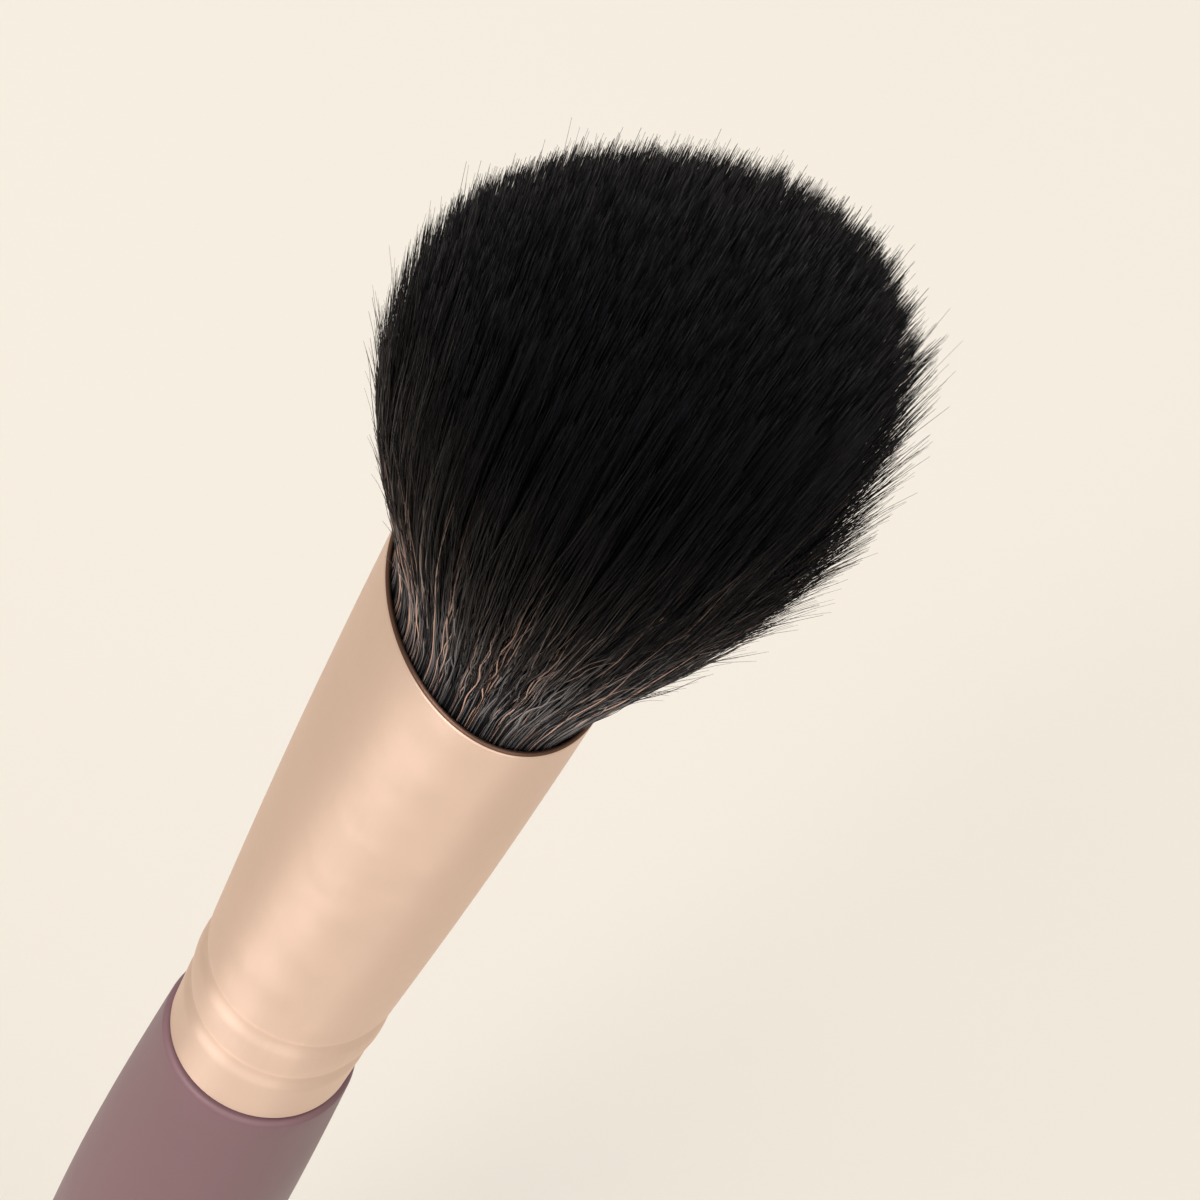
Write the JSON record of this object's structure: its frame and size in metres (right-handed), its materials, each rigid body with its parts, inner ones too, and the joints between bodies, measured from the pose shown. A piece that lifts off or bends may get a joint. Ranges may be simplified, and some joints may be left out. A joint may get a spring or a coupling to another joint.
{
  "type": "blush brush",
  "caption": "Blush brush: a fanned head of fine dark hair cut on a slant, set in a satin metal ferrule with an oval mouth and crimped on a round turned handle.",
  "frame": {"origin": "centre of the flat face at the butt end of the handle", "axes": "+Z along the brush from the butt end to the hair; +X along the long axis of the ferrule's oval mouth, towards the side where the hair is longer; +Y along the mouth's short axis"},
  "size_m": [0.0273, 0.0262, 0.1784],
  "materials": {
    "handle": "satin",
    "ferrule": "satin",
    "hair": "satin",
    "resin": "gloss"
  },
  "bodies": {
    "root": {"handle": "handle", "ferrule": "ferrule", "hair_tuft": "hair", "resin_plug": "resin"}
  },
  "joints": []
}
